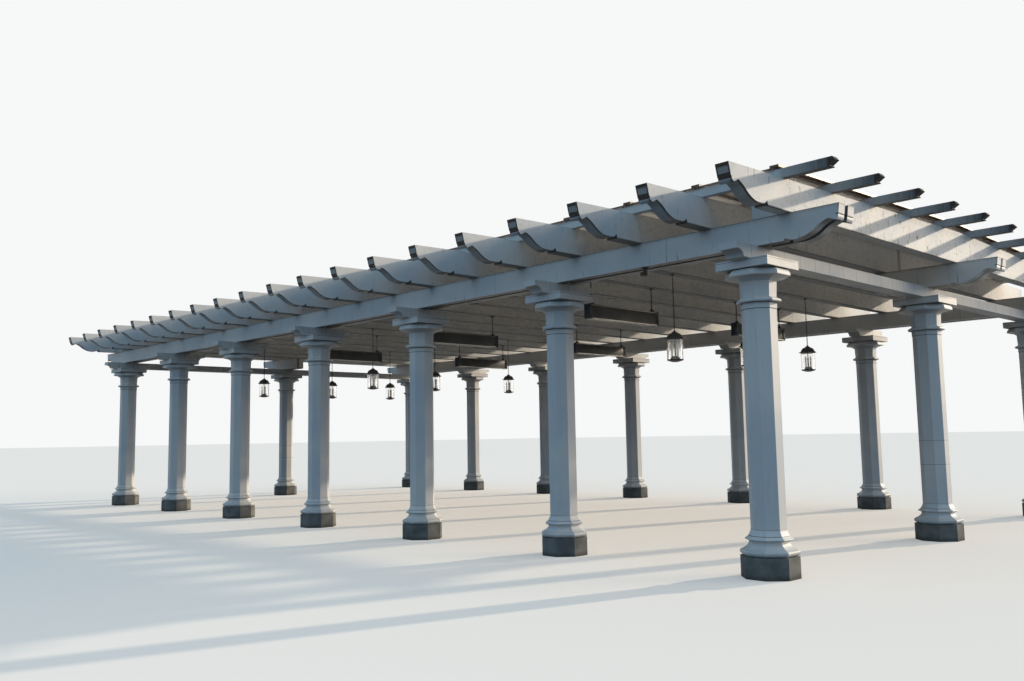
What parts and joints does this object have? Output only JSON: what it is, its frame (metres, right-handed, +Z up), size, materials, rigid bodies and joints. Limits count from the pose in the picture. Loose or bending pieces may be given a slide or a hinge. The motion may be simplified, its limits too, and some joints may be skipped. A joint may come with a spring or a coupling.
{
  "type": "colonnaded garden pergola",
  "caption": "Long white timber pergola with moulded octagonal columns, twin plank beams, scroll-cut rafters and purlins.",
  "frame": {"origin": "on the ground at the middle of the plan", "axes": "+X along the length to the right end, +Y from the front row of columns to the back row, +Z up"},
  "size_m": [18.2, 10.344, 3.982],
  "materials": {
    "white_timber": "painted white, satin, weathered on top",
    "plinth_stone": "cut grey stone",
    "roof_sheet": "bronze-tinted plastic sheet, weathered",
    "cover_bar": "dark brown coated metal",
    "heater_steel": "dark grey coated steel",
    "rod_steel": "black coated steel",
    "lantern_metal": "black coated metal",
    "lantern_glass": "clear glass"
  },
  "bodies": {
    "root": {"back_abaci": "white_timber", "back_bases": "white_timber", "back_beam": "white_timber", "back_bolsters": "white_timber", "back_capitals": "white_timber", "back_cover_bars": "cover_bar", "back_plinths": "plinth_stone", "back_purlins": "white_timber", "back_roof_sheets": "roof_sheet", "back_shafts": "white_timber", "beam_spacers": "white_timber", "end_abaci": "white_timber", "end_bases": "white_timber", "end_capitals": "white_timber", "end_plinths": "plinth_stone", "end_rafters": "white_timber", "end_shafts": "white_timber", "front_abaci": "white_timber", "front_bases": "white_timber", "front_beam": "white_timber", "front_bolsters": "white_timber", "front_capitals": "white_timber", "front_cover_bars": "cover_bar", "front_plinths": "plinth_stone", "front_purlins": "white_timber", "front_roof_sheets": "roof_sheet", "front_shafts": "white_timber", "heater_rods": "rod_steel", "heaters": "heater_steel", "lantern_caps": "lantern_metal", "lantern_glasses": "lantern_glass", "lantern_rods": "rod_steel", "lantern_trays": "lantern_metal", "left_girder": "white_timber", "left_outrigger": "white_timber", "rafters_bay_1": "white_timber", "rafters_bay_2": "white_timber", "rafters_bay_3": "white_timber", "rafters_bay_4": "white_timber", "rafters_bay_5": "white_timber", "rafters_bay_6": "white_timber", "right_girder": "white_timber", "right_outrigger": "white_timber"}
  },
  "joints": []
}
